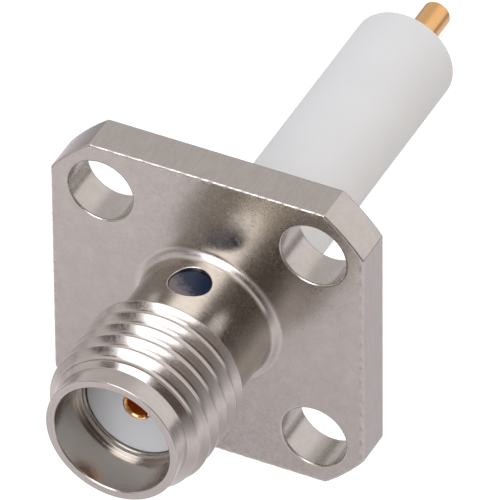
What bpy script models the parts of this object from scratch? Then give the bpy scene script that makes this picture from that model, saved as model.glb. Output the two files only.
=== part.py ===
"""SMA receptacle with a square four-hole flange and a long cylindrical insulator at the rear.

Metres, +Z up. The mating axis is Y and the mating end faces -Y. The origin is on the axis, in the
plane of the flange's rear face, which seats on the panel.

Every piece is drawn upright, with the mating end at the top and heights measured from the
flange's rear face. One empty then lays them all down together.
"""
import math

import bmesh
import bpy

MM = 0.001

# Flange
FLANGE_SIDE = 12.70 * MM
FLANGE_THICKNESS = 1.65 * MM
CORNER_CUT = 1.04 * MM
SCREW_HOLE_MARGIN = 2.03 * MM
SCREW_HOLE_DIAMETER = 2.64 * MM
EDGE_BREAK = 0.06 * MM

# Barrel, ahead of the flange
MATING_FACE_HEIGHT = 9.55 * MM
THREAD_DIAMETER = 6.35 * MM
THREAD_LENGTH = 4.41 * MM
THREAD_PITCH = 0.7056 * MM
THREAD_DEPTH = 0.433 * MM
THREAD_ROOT_WIDTH = 0.118 * MM
THREAD_ROOT_HEIGHT = 8.213 * MM
THREAD_FLANK_ANGLE = math.radians(30)
THREAD_CHAMFER_ANGLE = math.radians(45)
PILOT_LENGTH = 0.82 * MM
NECK_RELIEF = 0.52 * MM
NECK_FILLET = 0.40 * MM

# Mouth of the barrel
MOUTH_DIAMETER = 4.66 * MM
MOUTH_DEPTH = 1.81 * MM
MOUTH_CHAMFER = 0.04 * MM
LIP_WIDTH = 0.335 * MM
LIP_EDGE_BREAK = 0.03 * MM
LEDGE_WIDTH = 0.045 * MM
LEDGE_DEPTH = 0.20 * MM

# Insulator
INSULATOR_DIAMETER = 4.11 * MM
INSULATOR_RECESS = 0.08 * MM
INSULATOR_REAR_LENGTH = 15.05 * MM
INSULATOR_EDGE_BREAK = 0.05 * MM

# Center contact
CONTACT_DIAMETER = 1.12 * MM
CONTACT_STANDOUT = 0.02 * MM
CONTACT_EDGE_BREAK = 0.03 * MM
SOCKET_WALL = 0.15 * MM
SOCKET_DEPTH = 3.00 * MM
SOCKET_TIP_ANGLE = math.radians(118)
SLOT_WIDTH = 0.12 * MM
SLOT_LENGTH = 2.20 * MM
SLOT_ANGLE = math.radians(142)
PIN_LENGTH = 3.00 * MM
PIN_END_CHAMFER = 0.13 * MM
GROOVE_WIDTH = 0.90 * MM
GROOVE_DEPTH = 0.18 * MM

# Epoxy that holds the contact and the insulator in the body
EPOXY_HOLE_DIAMETER = 1.62 * MM
EPOXY_HOLE_HEIGHT = 3.07 * MM
EPOXY_RECESS = 0.07 * MM

# Running clearance between one piece and the next
FIT = 0.02 * MM
# How far a cutter reaches past the face that it cuts
OVERCUT = 0.50 * MM
THREAD_OVERCUT = 0.05 * MM

BODY_STEPS = 80
SMALL_STEPS = 48
HOLE_STEPS = 32
FILLET_STEPS = 6
MERGE_DISTANCE = 0.001 * MM
SHARP_ANGLE = math.radians(25)
RIM_ANGLE = math.radians(60)

CORNER_RADIUS = FLANGE_SIDE / math.sqrt(2) - CORNER_CUT
SCREW_HOLE_PITCH = FLANGE_SIDE - 2 * SCREW_HOLE_MARGIN
THREAD_RADIUS = THREAD_DIAMETER / 2
THREAD_ROOT_RADIUS = THREAD_RADIUS - THREAD_DEPTH
NECK_RADIUS = THREAD_RADIUS - NECK_RELIEF
MOUTH_RADIUS = MOUTH_DIAMETER / 2
LIP_RADIUS = MOUTH_RADIUS + LIP_WIDTH
INSULATOR_RADIUS = INSULATOR_DIAMETER / 2
INSULATOR_BORE_RADIUS = INSULATOR_RADIUS + FIT
LEDGE_RADIUS = INSULATOR_BORE_RADIUS + LEDGE_WIDTH
CONTACT_RADIUS = CONTACT_DIAMETER / 2
CONTACT_BORE_RADIUS = CONTACT_RADIUS + FIT
SOCKET_RADIUS = CONTACT_RADIUS - SOCKET_WALL
GROOVE_RADIUS = CONTACT_RADIUS - GROOVE_DEPTH
EPOXY_HOLE_RADIUS = EPOXY_HOLE_DIAMETER / 2

THREAD_END_HEIGHT = MATING_FACE_HEIGHT - THREAD_LENGTH
NECK_TOP_HEIGHT = THREAD_END_HEIGHT - NECK_RELIEF * math.tan(THREAD_FLANK_ANGLE)
PILOT_FOOT_HEIGHT = MATING_FACE_HEIGHT - PILOT_LENGTH
SEAT_HEIGHT = MATING_FACE_HEIGHT - MOUTH_DEPTH
LEDGE_HEIGHT = SEAT_HEIGHT - LEDGE_DEPTH
INSULATOR_FACE_HEIGHT = LEDGE_HEIGHT - INSULATOR_RECESS
CONTACT_FACE_HEIGHT = INSULATOR_FACE_HEIGHT + CONTACT_STANDOUT
PIN_END_HEIGHT = -INSULATOR_REAR_LENGTH - PIN_LENGTH


def clear_scene():
    """Remove whatever the file opened with."""
    for obj in list(bpy.data.objects):
        bpy.data.objects.remove(obj, do_unlink=True)


def new_collection(name):
    collection = bpy.data.collections.new(name)
    bpy.context.scene.collection.children.link(collection)
    return collection


def new_axis(collection):
    """The empty that every piece hangs on: its +Z is the mating direction, world -Y."""
    axis = bpy.data.objects.new("mating_axis", None)
    axis.rotation_euler = (math.radians(90), 0, 0)
    collection.objects.link(axis)
    return axis


def new_object(name, mesh, collection, axis):
    obj = bpy.data.objects.new(name, mesh)
    obj.parent = axis
    collection.objects.link(obj)
    return obj


def turned(name, profile, steps, collection, axis):
    """A turned solid: (radius, height) points from the axis, down the outer side, to the axis."""
    mesh = bpy.data.meshes.new(name)
    points = [(radius, 0, height) for radius, height in profile]
    edges = [(i, i + 1) for i in range(len(points) - 1)]
    mesh.from_pydata(points, edges, [])
    obj = new_object(name, mesh, collection, axis)
    screw = obj.modifiers.new("turn", "SCREW")
    screw.axis = "Z"
    screw.angle = math.radians(360)
    screw.steps = steps
    screw.render_steps = steps
    screw.use_merge_vertices = True
    screw.merge_threshold = MERGE_DISTANCE
    return obj


def rod(radius, top, foot):
    """The profile of a plain cylinder between two heights."""
    return [(0, top), (radius, top), (radius, foot), (0, foot)]


def block(name, size, center, collection, axis):
    """A rectangular block of the given size about a center point."""
    mesh = bpy.data.meshes.new(name)
    shape = bmesh.new()
    bmesh.ops.create_cube(shape, size=1)
    bmesh.ops.scale(shape, vec=size, verts=shape.verts)
    bmesh.ops.translate(shape, vec=center, verts=shape.verts)
    shape.to_mesh(mesh)
    shape.free()
    return new_object(name, mesh, collection, axis)


def combine(obj, tool, operation):
    """Cut, join or trim a piece with a tool object, which is then only a guide."""
    boolean = obj.modifiers.new(tool.name, "BOOLEAN")
    boolean.operation = operation
    boolean.solver = "EXACT"
    boolean.object = tool
    tool.hide_render = True
    tool.display_type = "WIRE"


def arc(center, radius, start, end, steps):
    """Points on a circle in the profile plane, from one angle to another."""
    angles = [start + (end - start) * i / steps for i in range(steps + 1)]
    return [(center[0] + radius * math.cos(a), center[1] + radius * math.sin(a)) for a in angles]


def surface(name, color, roughness, metallic):
    """A plain Principled material, with its color in linear RGB."""
    material = bpy.data.materials.new(name)
    material.use_nodes = True
    shader = material.node_tree.nodes["Principled BSDF"]
    shader.inputs["Base Color"].default_value = (*color, 1.0)
    shader.inputs["Roughness"].default_value = roughness
    shader.inputs["Metallic"].default_value = metallic
    return material


def settle(obj, material):
    """Turn a piece's modifiers into its mesh, give it its material and shade it."""
    view = bpy.context.evaluated_depsgraph_get()
    mesh = bpy.data.meshes.new_from_object(obj.evaluated_get(view))
    obj.modifiers.clear()
    obj.data = mesh
    mesh.name = obj.name
    mesh.materials.clear()
    mesh.materials.append(material)
    mesh.shade_smooth()
    mesh.set_sharp_from_angle(angle=SHARP_ANGLE)


def barrel_profile():
    """Lip, pilot, chamfer, thread blank, neck and fillet, ending inside the flange."""
    fillet_center = (NECK_RADIUS + NECK_FILLET, FLANGE_THICKNESS + NECK_FILLET)
    chamfer_height = (THREAD_RADIUS - LIP_RADIUS) / math.tan(THREAD_CHAMFER_ANGLE)
    profile = [
        (0, MATING_FACE_HEIGHT),
        (LIP_RADIUS - LIP_EDGE_BREAK, MATING_FACE_HEIGHT),
        (LIP_RADIUS, MATING_FACE_HEIGHT - LIP_EDGE_BREAK),
        (LIP_RADIUS, PILOT_FOOT_HEIGHT),
        (THREAD_RADIUS, PILOT_FOOT_HEIGHT - chamfer_height),
        (THREAD_RADIUS, THREAD_END_HEIGHT),
        (NECK_RADIUS, NECK_TOP_HEIGHT),
    ]
    profile += arc(fillet_center, NECK_FILLET, math.pi, 1.5 * math.pi, FILLET_STEPS)
    profile += [
        (NECK_RADIUS + NECK_FILLET, FLANGE_THICKNESS / 2),
        (0, FLANGE_THICKNESS / 2),
    ]
    return profile


def thread_groove(cutters, axis):
    """The thread's groove: a trapezoid carried up a right-hand helix and closed at both ends.

    It starts and ends clear of the thread, where its floor is outside the neck and the pilot.
    """
    top_radius = THREAD_RADIUS + THREAD_OVERCUT
    root_half = THREAD_ROOT_WIDTH / 2
    top_half = root_half + (top_radius - THREAD_ROOT_RADIUS) * math.tan(THREAD_FLANK_ANGLE)
    section = [
        (THREAD_ROOT_RADIUS, -root_half),
        (THREAD_ROOT_RADIUS, root_half),
        (top_radius, top_half),
        (top_radius, -top_half),
    ]
    rise = THREAD_PITCH / BODY_STEPS
    first = math.floor((NECK_TOP_HEIGHT - THREAD_PITCH - THREAD_ROOT_HEIGHT) / rise)
    last = math.ceil((PILOT_FOOT_HEIGHT + THREAD_PITCH - THREAD_ROOT_HEIGHT) / rise)
    shape = bmesh.new()
    loops = []
    for step in range(first, last + 1):
        angle = math.tau * step / BODY_STEPS
        middle = THREAD_ROOT_HEIGHT + rise * step
        loops.append(
            [
                shape.verts.new((r * math.cos(angle), r * math.sin(angle), middle + h))
                for r, h in section
            ]
        )
    for low, high in zip(loops, loops[1:]):
        for i in range(4):
            shape.faces.new((low[i], high[i], high[i - 1], low[i - 1]))
    shape.faces.new(loops[0])
    shape.faces.new(loops[-1])
    bmesh.ops.recalc_face_normals(shape, faces=shape.faces)
    bmesh.ops.triangulate(shape, faces=shape.faces)
    mesh = bpy.data.meshes.new("thread_groove")
    shape.to_mesh(mesh)
    shape.free()
    return new_object("thread_groove", mesh, cutters, axis)


def bore_profile():
    """The mouth and its seat, the ledge, and the bore that carries the insulator."""
    mouth_top = MOUTH_RADIUS + MOUTH_CHAMFER + OVERCUT
    return [
        (0, MATING_FACE_HEIGHT + OVERCUT),
        (mouth_top, MATING_FACE_HEIGHT + OVERCUT),
        (MOUTH_RADIUS, MATING_FACE_HEIGHT - MOUTH_CHAMFER),
        (MOUTH_RADIUS, SEAT_HEIGHT),
        (LEDGE_RADIUS, SEAT_HEIGHT),
        (LEDGE_RADIUS, LEDGE_HEIGHT),
        (INSULATOR_BORE_RADIUS, LEDGE_HEIGHT),
        (INSULATOR_BORE_RADIUS, EDGE_BREAK),
        (INSULATOR_BORE_RADIUS + EDGE_BREAK + OVERCUT, -OVERCUT),
        (0, -OVERCUT),
    ]


def screw_hole_profile():
    """A through hole with its edges broken on both faces of the flange."""
    radius = SCREW_HOLE_DIAMETER / 2
    return [
        (0, FLANGE_THICKNESS + OVERCUT),
        (radius + EDGE_BREAK + OVERCUT, FLANGE_THICKNESS + OVERCUT),
        (radius, FLANGE_THICKNESS - EDGE_BREAK),
        (radius, EDGE_BREAK),
        (radius + EDGE_BREAK + OVERCUT, -OVERCUT),
        (0, -OVERCUT),
    ]


def epoxy_hole(name, radius, cutters, axis):
    """The radial hole's cylinder, from the axis out past the thread, at the top of the neck."""
    hole = turned(name, rod(radius, THREAD_RADIUS + OVERCUT, 0), HOLE_STEPS, cutters, axis)
    hole.location = (0, 0, EPOXY_HOLE_HEIGHT)
    hole.rotation_euler = (math.radians(-90), 0, 0)
    return hole


def build_body(pieces, cutters, axis):
    """One turned and milled piece: square flange with turned corners, and the threaded barrel."""
    body = block(
        "body",
        (FLANGE_SIDE, FLANGE_SIDE, FLANGE_THICKNESS),
        (0, 0, FLANGE_THICKNESS / 2),
        pieces,
        axis,
    )
    disc = rod(CORNER_RADIUS, FLANGE_THICKNESS + OVERCUT, -OVERCUT)
    combine(body, turned("corner_turning", disc, BODY_STEPS, cutters, axis), "INTERSECT")
    bevel = body.modifiers.new("edge_break", "BEVEL")
    bevel.width = EDGE_BREAK
    bevel.segments = 1
    bevel.limit_method = "ANGLE"
    bevel.angle_limit = RIM_ANGLE

    combine(body, turned("barrel", barrel_profile(), BODY_STEPS, cutters, axis), "UNION")
    combine(body, thread_groove(cutters, axis), "DIFFERENCE")
    combine(body, turned("bore", bore_profile(), BODY_STEPS, cutters, axis), "DIFFERENCE")
    for column in (-0.5, 0.5):
        for row in (-0.5, 0.5):
            hole = turned("screw_hole", screw_hole_profile(), HOLE_STEPS, cutters, axis)
            hole.location = (column * SCREW_HOLE_PITCH, row * SCREW_HOLE_PITCH, 0)
            combine(body, hole, "DIFFERENCE")
    combine(body, epoxy_hole("body_cross_hole", EPOXY_HOLE_RADIUS, cutters, axis), "DIFFERENCE")
    settle(body, surface("stainless_steel", (0.43, 0.39, 0.37), 0.28, 1.0))


def build_insulator(pieces, cutters, axis):
    """The rod from the seat to the rear, bored for the contact and cross drilled for the epoxy."""
    rear = -INSULATOR_REAR_LENGTH
    profile = [
        (0, INSULATOR_FACE_HEIGHT),
        (INSULATOR_RADIUS, INSULATOR_FACE_HEIGHT),
        (INSULATOR_RADIUS, rear + INSULATOR_EDGE_BREAK),
        (INSULATOR_RADIUS - INSULATOR_EDGE_BREAK, rear),
        (0, rear),
    ]
    bore = rod(CONTACT_BORE_RADIUS, INSULATOR_FACE_HEIGHT + OVERCUT, rear - OVERCUT)
    insulator = turned("insulator", profile, BODY_STEPS, pieces, axis)
    combine(insulator, turned("contact_bore", bore, SMALL_STEPS, cutters, axis), "DIFFERENCE")
    cross_hole = epoxy_hole("insulator_cross_hole", EPOXY_HOLE_RADIUS, cutters, axis)
    combine(insulator, cross_hole, "DIFFERENCE")
    settle(insulator, surface("ptfe", (0.72, 0.72, 0.72), 0.55, 0.0))


def contact_profile():
    """Socket bore and mouth, then down the outside past the groove to the solder pin's end."""
    tip_height = SOCKET_RADIUS / math.tan(SOCKET_TIP_ANGLE / 2)
    socket_floor = CONTACT_FACE_HEIGHT - SOCKET_DEPTH
    mouth_radius = SOCKET_RADIUS + CONTACT_EDGE_BREAK
    groove_top = EPOXY_HOLE_HEIGHT + GROOVE_WIDTH / 2
    groove_foot = EPOXY_HOLE_HEIGHT - GROOVE_WIDTH / 2
    return [
        (0, socket_floor - tip_height),
        (SOCKET_RADIUS, socket_floor),
        (SOCKET_RADIUS, CONTACT_FACE_HEIGHT - CONTACT_EDGE_BREAK),
        (mouth_radius, CONTACT_FACE_HEIGHT),
        (CONTACT_RADIUS - CONTACT_EDGE_BREAK, CONTACT_FACE_HEIGHT),
        (CONTACT_RADIUS, CONTACT_FACE_HEIGHT - CONTACT_EDGE_BREAK),
        (CONTACT_RADIUS, groove_top),
        (GROOVE_RADIUS, groove_top),
        (GROOVE_RADIUS, groove_foot),
        (CONTACT_RADIUS, groove_foot),
        (CONTACT_RADIUS, PIN_END_HEIGHT + PIN_END_CHAMFER),
        (CONTACT_RADIUS - PIN_END_CHAMFER, PIN_END_HEIGHT),
        (0, PIN_END_HEIGHT),
    ]


def build_contact(pieces, cutters, axis):
    """The contact: a two-tine spring socket in front, a captive groove and a solder pin behind."""
    contact = turned("center_contact", contact_profile(), SMALL_STEPS, pieces, axis)
    top = CONTACT_FACE_HEIGHT + OVERCUT
    foot = CONTACT_FACE_HEIGHT - SLOT_LENGTH
    slot = block(
        "socket_slot",
        (CONTACT_DIAMETER + 2 * OVERCUT, SLOT_WIDTH, top - foot),
        (0, 0, (top + foot) / 2),
        cutters,
        axis,
    )
    slot.rotation_euler = (0, 0, SLOT_ANGLE)
    combine(contact, slot, "DIFFERENCE")
    settle(contact, surface("gold_plating", (0.80, 0.47, 0.14), 0.30, 1.0))


def build_epoxy(pieces, cutters, axis):
    """Cured epoxy: a column in the cross holes, and a ring of it in the contact's groove."""
    ring_top = EPOXY_HOLE_HEIGHT + GROOVE_WIDTH / 2 - FIT
    ring_foot = EPOXY_HOLE_HEIGHT - GROOVE_WIDTH / 2 + FIT
    top = EPOXY_HOLE_HEIGHT + EPOXY_HOLE_RADIUS + OVERCUT
    foot = EPOXY_HOLE_HEIGHT - EPOXY_HOLE_RADIUS - OVERCUT
    trim = rod(NECK_RADIUS - EPOXY_RECESS, top, foot)
    ring = rod(CONTACT_RADIUS, ring_top, ring_foot)
    passage = [
        (0, top),
        (CONTACT_RADIUS + FIT, top),
        (CONTACT_RADIUS + FIT, ring_top),
        (GROOVE_RADIUS + FIT, ring_top),
        (GROOVE_RADIUS + FIT, ring_foot),
        (CONTACT_RADIUS + FIT, ring_foot),
        (CONTACT_RADIUS + FIT, foot),
        (0, foot),
    ]
    epoxy = epoxy_hole("epoxy_plug", EPOXY_HOLE_RADIUS - FIT, pieces, axis)
    combine(epoxy, turned("epoxy_skin", trim, BODY_STEPS, cutters, axis), "INTERSECT")
    combine(epoxy, turned("epoxy_ring", ring, SMALL_STEPS, cutters, axis), "UNION")
    combine(epoxy, turned("contact_passage", passage, SMALL_STEPS, cutters, axis), "DIFFERENCE")
    settle(epoxy, surface("dark_epoxy", (0.035, 0.036, 0.055), 0.25, 0.0))


def main():
    clear_scene()
    pieces = new_collection("sma_receptacle")
    cutters = new_collection("cutters")
    axis = new_axis(pieces)
    build_body(pieces, cutters, axis)
    build_insulator(pieces, cutters, axis)
    build_contact(pieces, cutters, axis)
    build_epoxy(pieces, cutters, axis)


main()
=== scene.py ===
"""SMA receptacle with a square four-hole flange: its finished surfaces, materials and studio.

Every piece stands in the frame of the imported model: the mating axis is Y, the mating end faces -Y
and the origin is in the plane of the flange's rear face. A turned surface is given by the radius
and the height of its profile, with heights measured forward from that rear face. Azimuths run
from +X to +Z, counterclockwise as the mating end is seen from the front.
"""

import math

import bmesh
import bpy
import numpy as np
from bpy.props import FloatProperty, FloatVectorProperty, PointerProperty
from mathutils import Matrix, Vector


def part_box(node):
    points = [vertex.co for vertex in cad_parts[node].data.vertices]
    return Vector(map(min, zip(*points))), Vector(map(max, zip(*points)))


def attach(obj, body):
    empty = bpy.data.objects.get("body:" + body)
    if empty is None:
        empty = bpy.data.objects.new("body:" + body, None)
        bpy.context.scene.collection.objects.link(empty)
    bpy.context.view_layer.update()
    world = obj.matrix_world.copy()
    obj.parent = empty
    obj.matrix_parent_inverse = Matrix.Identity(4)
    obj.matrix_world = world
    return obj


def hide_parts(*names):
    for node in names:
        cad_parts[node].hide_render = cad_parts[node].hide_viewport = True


bl_info = {
    "name": "SMA receptacle",
    "version": (1, 0, 0),
    "blender": (4, 5, 0),
    "location": "View3D > Sidebar > Receptacle",
    "description": "Threaded steel body, PTFE insulator, gold plated contact and epoxy plug",
    "category": "Add Mesh",
}

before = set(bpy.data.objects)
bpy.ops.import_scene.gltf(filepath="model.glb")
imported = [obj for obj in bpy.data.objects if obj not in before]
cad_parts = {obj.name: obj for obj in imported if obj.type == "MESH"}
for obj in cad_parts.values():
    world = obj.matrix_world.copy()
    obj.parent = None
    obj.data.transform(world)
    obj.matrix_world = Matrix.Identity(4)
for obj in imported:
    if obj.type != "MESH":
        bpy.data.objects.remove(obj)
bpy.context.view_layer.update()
BODY_LOW, BODY_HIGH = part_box("body")
INSULATOR_LOW, INSULATOR_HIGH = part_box("insulator")
CONTACT_LOW, CONTACT_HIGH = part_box("center_contact")
EPOXY_LOW, EPOXY_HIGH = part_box("epoxy_plug")

MM = 0.001
QUARTER = 64
COLUMNS = 4 * QUARTER
# Columns on each side of the top of the neck that make room for the epoxy hole
HOLE_COLUMNS = 20
HOLE_ROWS = 16
FILLET_STEPS = 12
# Points along half a side of the flange, and between the ends of a turned corner
SIDE_POINTS = 44
ARC_POINTS = 11
# Distance, in millimetres, of the rows that keep the corner at the pilot's foot sharp
SUPPORT = 0.012
# Widths, in millimetres, of the rings of the flange's faces that belong to fillet and bore
FRONT_RING, REAR_RING = 0.04, 0.15
# Points closer than this are one point, in metres
WELD = 0.0000003
# Colours of what the metal mirrors: the tent's cloth, the darker room behind its openings and
# the paper. Then the colour of the light from all round that falls on matt surfaces.
TENT_CLOTH = "#FCF8FF"
ROOM_CAST = "#FFE0DF"
FLOOR_CAST = "#FAF5FF"
FILL_CAST = "#FFFDF8"
# The tent's openings and lit parts: azimuth from the front towards +X and elevation, the angles
# from there at which the patch begins to fade and ends, all in degrees, and its level
TENT_PATCHES = (
    (0, 90, 15, 48, 1.40),
    (-154, 40, 20, 45, 0.79),
    (140, 25, 20, 45, 1.17),
    (36, 15, 26, 38, 0.15),
    (16, 2, 8, 20, 0.36),
    (-36, 10, 6, 12, 0.08),
    (-44, 34, 5, 14, 0.15),
)
# The same columns for the light that falls on matt surfaces, which is weak from the front
FILL_PATCHES = (
    (5, -5, 20, 65, 0.20),
    (115, 20, 35, 80, 1.42),
    (0, 90, 25, 70, 0.58),
)
# Painted light and shade on the paper under the part as the metal shows it, a level by distance:
# millimetres from the part's origin, and level
FLOOR_LEVELS = ((60, 1.00), (100, 1.10), (112, 1.16), (135, 1.02), (175, 0.72), (360, 0.38))
# Painted shades on that paper, the part's shadow among them, and a painted pool of light on its
# left side: middle in X and Y and radius, in millimetres, and the level in the middle
FLOOR_SHADES = (
    (-28, -55, 14, 0.165),
    (-50, -50, 28, 0.85),
    (25, -40, 45, 0.72),
    (38, 62, 60, 0.72),
    (-550, -80, 500, 2.9),
)
# The paper's own colours, and half the side of its sheet in metres
PAPER = ("#CFCFCF", "#D5D5D5")
PAPER_HALF = 1.5
# The softbox, as the metal shows it and as it lights matt surfaces: direction from the part
# and colour. Then its distance, width and height in metres.
SHINE_TOWARDS, SHINE_CAST = (-0.102, -0.745, 0.669), "#EFF2FF"
LIGHT_TOWARDS, LIGHT_CAST = (-0.26, -0.68, 0.69), "#E0E8F4"
SOFTBOX = (0.35, 0.215, 0.49)


def length(name, text, default):
    """A length that the user can set, in metres."""
    return FloatProperty(
        name=name,
        description=text,
        default=default,
        min=0.0,
        soft_max=0.05,
        precision=5,
        subtype="DISTANCE",
        unit="LENGTH",
    )


def angle(name, text, degrees):
    """An angle that the user can set. The default is in degrees."""
    return FloatProperty(
        name=name,
        description=text,
        default=math.radians(degrees),
        subtype="ANGLE",
        unit="ROTATION",
    )


def colour(name, text, hex_code):
    """A colour that the user can set. The default is an sRGB hex code."""
    return FloatVectorProperty(
        name=name,
        description=text,
        default=linear(hex_code)[:3],
        min=0.0,
        max=1.0,
        size=3,
        subtype="COLOR",
    )


def fraction(name, text, default, top=1.0):
    """A plain number that the user can set, from 0 to top."""
    return FloatProperty(
        name=name, description=text, default=default, min=0.0, max=top, subtype="FACTOR"
    )


def linear(hex_code):
    """sRGB hex to linear RGBA: v / 12.92 up to 0.04045, and ((v + 0.055) / 1.055) ** 2.4 above."""
    code = hex_code.lstrip("#")
    channels = []
    for i in (0, 2, 4):
        v = int(code[i : i + 2], 16) / 255
        channels.append(v / 12.92 if v <= 0.04045 else ((v + 0.055) / 1.055) ** 2.4)
    return (*channels, 1.0)


class BodySizes(bpy.types.PropertyGroup):
    side: length("Flange side", "Side of the square flange", BODY_HIGH.x - BODY_LOW.x)
    thickness: length("Flange thickness", "Flange, front face to rear face", 1.65 * MM)
    corner: length("Corner radius", "Radius of the turned corners about the axis", 7.94 * MM)
    pitch: length("Screw hole spacing", "Screw holes, centre to centre", 8.64 * MM)
    screw: length("Screw hole", "Diameter of the screw holes", 2.64 * MM)
    edge: length("Edge break", "Broken edges of the flange and its holes", 0.06 * MM)
    nicks: length("Nicks", "Unevenness of the flange's front edge", 0.012 * MM)
    reach: length("Barrel height", "Rear face to mating face", -BODY_LOW.y)
    neck: length("Neck", "Diameter of the neck", 5.31 * MM)
    fillet: length("Fillet", "Radius between neck and flange", 0.40 * MM)
    mouth: length("Mouth", "Diameter of the mouth", 4.66 * MM)
    mouth_chamfer: length("Mouth chamfer", "Chamfer at the mouth's rim", 0.04 * MM)
    depth: length("Mouth depth", "Mating face to the seat", 1.81 * MM)
    ledge: length("Ledge", "Width of the step between the seat and the bore", 0.045 * MM)
    ledge_depth: length("Ledge depth", "Seat to that step", 0.20 * MM)
    bore: length("Bore", "Diameter of the bore for the insulator", 4.15 * MM)
    epoxy_hole: length("Epoxy hole", "Diameter of the radial hole in the neck", 1.62 * MM)
    epoxy_height: length("Epoxy hole height", "Rear face to the hole's centre", 3.07 * MM)


class ThreadSizes(bpy.types.PropertyGroup):
    outside: length("Outside diameter", "Diameter over the crests", 6.35 * MM)
    pitch: length("Pitch", "Crest to crest, 36 to the inch", 0.7056 * MM)
    land: length("Crest width", "Width of the flat crest", 0.06 * MM)
    root: length("Root radius", "Radius of the groove's round bottom", 0.20 * MM)
    phase: length("Phase", "Height of one groove's middle at azimuth 0", 8.213 * MM)
    end: length("Thread end", "Height at which the rear flank begins", 5.14 * MM)
    pilot: length("Pilot", "Diameter of the plain pilot ahead of the thread", 5.33 * MM)
    pilot_length: length("Pilot length", "Mating face to the thread's chamfer", 0.82 * MM)
    crest_break: length("Crest break", "Rounding of the crest's edges", 0.016 * MM)


class CoreSizes(bpy.types.PropertyGroup):
    insulator: length("Insulator", "Diameter of the insulator", INSULATOR_HIGH.x - INSULATOR_LOW.x)
    insulator_face: length("Insulator face", "Height of its front face", -INSULATOR_LOW.y)
    insulator_rear: length("Insulator rear", "Its reach behind the flange", INSULATOR_HIGH.y)
    contact: length("Contact", "Diameter of the contact", CONTACT_HIGH.x - CONTACT_LOW.x)
    contact_face: length("Contact face", "Height of its front face", -CONTACT_LOW.y)
    pin_end: length("Pin end", "Reach of the solder pin behind the flange", CONTACT_HIGH.y)
    wall: length("Socket wall", "Wall of the spring socket", 0.15 * MM)
    socket: length("Socket depth", "Depth of the socket", 3.0 * MM)
    lead_in: length("Lead-in", "Chamfer at the socket's mouth", 0.07 * MM)
    slot: length("Slot width", "Width of the slots between the tines", 0.12 * MM)
    slot_length: length("Slot length", "Length of the slots", 2.2 * MM)
    slot_angle: angle("Slot azimuth", "Azimuth of the first slot", 142.0)
    groove: length("Groove width", "Width of the groove that the epoxy fills", 0.9 * MM)
    groove_depth: length("Groove depth", "Depth of that groove", 0.18 * MM)
    chamfer: length("Pin chamfer", "Chamfer at the pin's end", 0.13 * MM)
    fit: length("Fit", "Clearance between one piece and the next", 0.02 * MM)
    epoxy_skin: length("Epoxy top", "Height above the axis of the epoxy's rim", EPOXY_HIGH.z)
    epoxy_sag: length("Epoxy sag", "Depth of the middle of the dished surface", 0.20 * MM)
    epoxy_dish: length("Epoxy dish", "Radius of the dished surface", 3.5 * MM)
    epoxy_width: length("Epoxy width", "Diameter of the epoxy plug", EPOXY_HIGH.x - EPOXY_LOW.x)


class Finishes(bpy.types.PropertyGroup):
    steel: colour("Steel", "Passivated stainless steel, face on", "#BBB5AB")
    steel_gloss: fraction("Steel roughness", "Roughness of the tumbled steel", 0.24)
    thread_gloss: fraction("Thread roughness", "Roughness of the turned thread", 0.20)
    ptfe: colour("PTFE", "Turned PTFE", "#DCDADB")
    gold: colour("Gold", "Gold plating, face on", "#E2B276")
    gold_gloss: fraction("Gold roughness", "Roughness of the plated contact", 0.26)
    # Painted shade: the socket's deeper, more orange gold stands in for the shade and the many
    # reflections inside it
    bore: colour("Socket", "Gold plating inside the socket, deeper by many reflections", "#F09A48")
    bore_gloss: fraction("Socket roughness", "Roughness of the drilled socket", 0.55)
    epoxy: colour("Epoxy", "Cured epoxy", "#0E1F38")
    # The epoxy's colour towards the front left; towards the rear right it is navy
    epoxy_thin: colour("Epoxy, front left", "Cured epoxy where it thins out", "#6E6568")
    epoxy_gloss: fraction("Epoxy roughness", "Roughness of the epoxy's skin", 0.18)


class StudioSettings(bpy.types.PropertyGroup):
    fill: fraction("Fill light", "Level of the light from all round", 0.76, 2.0)
    box_shine: fraction("Softbox reflection", "Radiance of the softbox in the metal", 3.3, 20.0)
    box_light: fraction("Softbox light", "Radiance of the softbox on matt surfaces", 3.15, 20.0)
    tent: fraction("Tent", "Level of the tent's cloth in reflections", 0.87, 2.0)
    floor: length("Floor depth", "Distance of the floor below the axis", 60.0 * MM)


# Surfaces as whole arrays


def turned(profile, azimuth):
    """Points of a turned surface, in millimetres.

    A profile point of radius r and height h goes to (r cos a, -h, r sin a) at azimuth a. The
    profile has shape (rows, 1, 2) or (rows, columns, 2), and azimuth (columns,) or (rows, columns).
    """
    radius, height = profile[..., 0], profile[..., 1]
    return np.stack([radius * np.cos(azimuth), -height + 0 * azimuth, radius * np.sin(azimuth)], -1)


def eased(corners, breaks):
    """A profile with its corners rounded over, each with support on both sides.

    A corner P between neighbours A and B, with unit vectors u and w towards them, becomes
    P + 1.6 d u, P + d u, the middle of the quadratic curve from P + d u to P + d w, P + d w and
    P + 1.6 d w. Here d is the corner's break, at most 0.3 of its shorter side. A corner with no
    break stays one point.
    """
    breaks = np.asarray(breaks, float)
    to_last = np.concatenate([corners[:1], corners[:-1]]) - corners
    to_next = np.concatenate([corners[1:], corners[-1:]]) - corners
    last_side = np.linalg.norm(to_last, axis=-1, keepdims=True)
    next_side = np.linalg.norm(to_next, axis=-1, keepdims=True)
    wanted = breaks.reshape((-1,) + (1,) * (corners.ndim - 1))
    d = np.minimum(wanted, 0.3 * np.minimum(last_side, next_side))
    u = d * to_last / np.maximum(last_side, 1e-9)
    w = d * to_next / np.maximum(next_side, 1e-9)
    middle = corners + 0.25 * (u + w)
    points = np.stack(
        [corners + 1.6 * u, corners + u, middle, corners + w, corners + 1.6 * w], axis=1
    )
    kept = np.repeat((breaks > 0)[:, None], 5, axis=1)
    kept[:, 2] = True
    return points.reshape((-1,) + corners.shape[1:])[kept.ravel()]


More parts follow.
